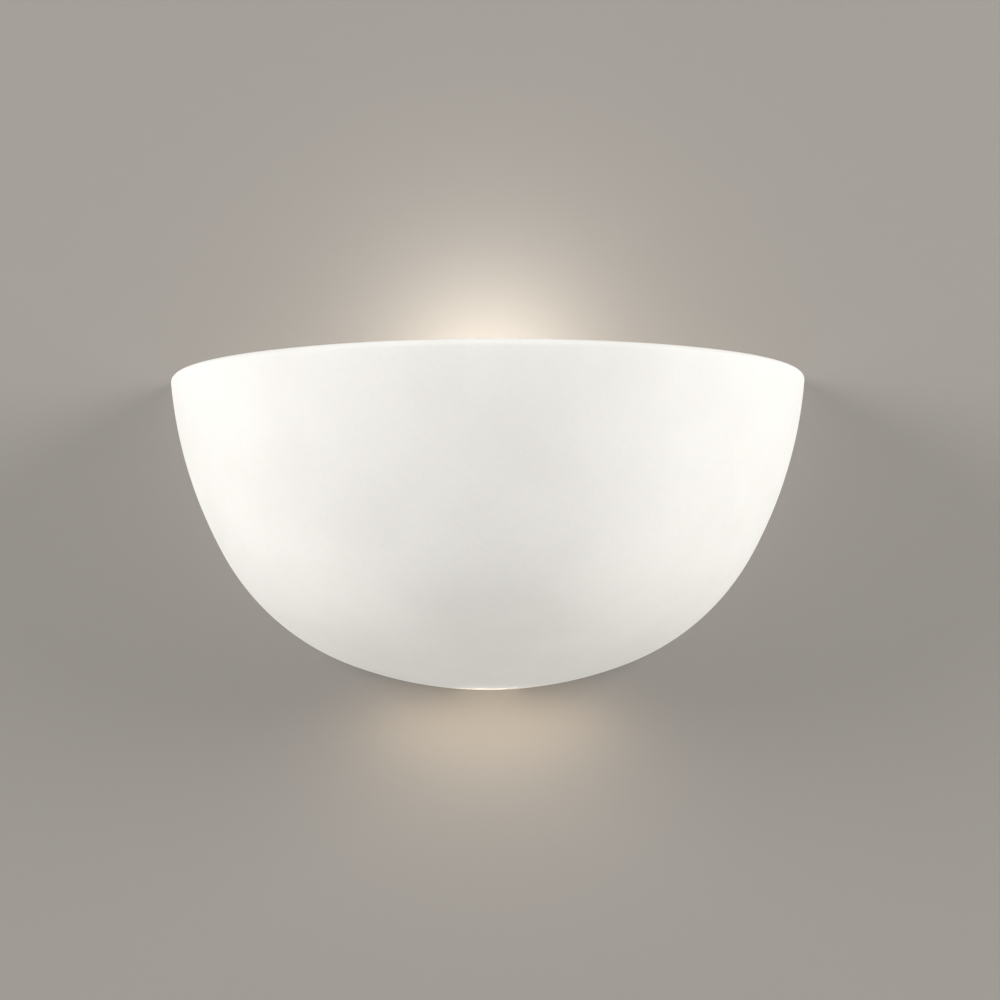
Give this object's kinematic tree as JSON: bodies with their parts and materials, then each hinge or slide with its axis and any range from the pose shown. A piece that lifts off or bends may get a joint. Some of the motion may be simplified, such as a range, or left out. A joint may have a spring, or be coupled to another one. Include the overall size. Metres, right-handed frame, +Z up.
{
  "type": "uplighter wall sconce",
  "caption": "Half-bowl ceramic uplighter that hangs on a pressed steel wall bar, with a screw-in lamp hidden inside the bowl.",
  "frame": {"origin": "on the wall plane, midway between the two slots that the wall screws pass through", "axes": "+X to the viewer's right along the wall, +Y into the wall, +Z up; the bowl stands out along -Y"},
  "size_m": [0.31, 0.155, 0.1529],
  "materials": {
    "bisque": "unglazed white bisque, matt and slightly chalky",
    "zinc_steel": "bright zinc plate on pressed steel",
    "nickel_brass": "nickel plate on turned brass, satin",
    "fibre": "red vulcanised fibre",
    "rubber": "soft black rubber",
    "nylon": "natural nylon",
    "porcelain": "white glaze",
    "brass": "bright brass",
    "block": "natural polyamide",
    "lead_brown": "brown silicone sleeve",
    "lead_blue": "blue silicone sleeve",
    "opal": "opal diffuser, lit",
    "lamp_white": "white moulded housing",
    "nickel_cap": "nickel-plated screw cap",
    "black_glass": "black insulator",
    "board": "white-coated aluminium board"
  },
  "bodies": {
    "fitting": {"wall_bar": "zinc_steel", "cable_grommet": "rubber", "lamp_carrier": "zinc_steel", "carrier_rivets": "zinc_steel", "lead_clip": "nylon", "holder_porcelain": "porcelain", "holder_screw_shell": "brass", "holder_centre_contact": "brass", "holder_terminals": "brass", "holder_terminal_screws": "zinc_steel", "holder_fixing_screws": "zinc_steel", "terminal_block": "block", "clamp_tubes": "brass", "clamp_screws": "zinc_steel", "block_fixing_screw": "zinc_steel", "earth_screw": "brass", "earth_cup_washer": "brass", "earth_lock_washer": "zinc_steel", "lead_live": "lead_brown", "lead_neutral": "lead_blue", "lead_ferrules": "nickel_cap"},
    "shade": {"shade_bowl": "bisque", "fibre_washers": "fibre"},
    "thumbscrew_left": {"thumbscrew_left": "nickel_brass"},
    "thumbscrew_right": {"thumbscrew_right": "nickel_brass"},
    "lamp": {"lamp_globe": "opal", "lamp_housing": "lamp_white", "lamp_screw_cap": "nickel_cap", "lamp_insulator": "black_glass", "lamp_centre_contact": "nickel_cap", "lamp_led_board": "board"}
  },
  "joints": [
    {"name": "shade_pull", "type": "slide", "parent": "fitting", "child": "shade", "axis": [0, -1, 0], "range_m": [0, 0.11]},
    {"name": "thumbscrew_left_turn", "type": "hinge", "parent": "shade", "child": "thumbscrew_left", "pos_m": [-0.12, -0.025, 0], "axis": [0, -1, 0], "continuous": true},
    {"name": "thumbscrew_right_turn", "type": "hinge", "parent": "shade", "child": "thumbscrew_right", "pos_m": [0.12, -0.025, 0], "axis": [0, -1, 0], "continuous": true},
    {"name": "lamp_lift", "type": "slide", "parent": "fitting", "child": "lamp", "axis": [0, 0, 1], "range_m": [0, 0.12]}
  ]
}
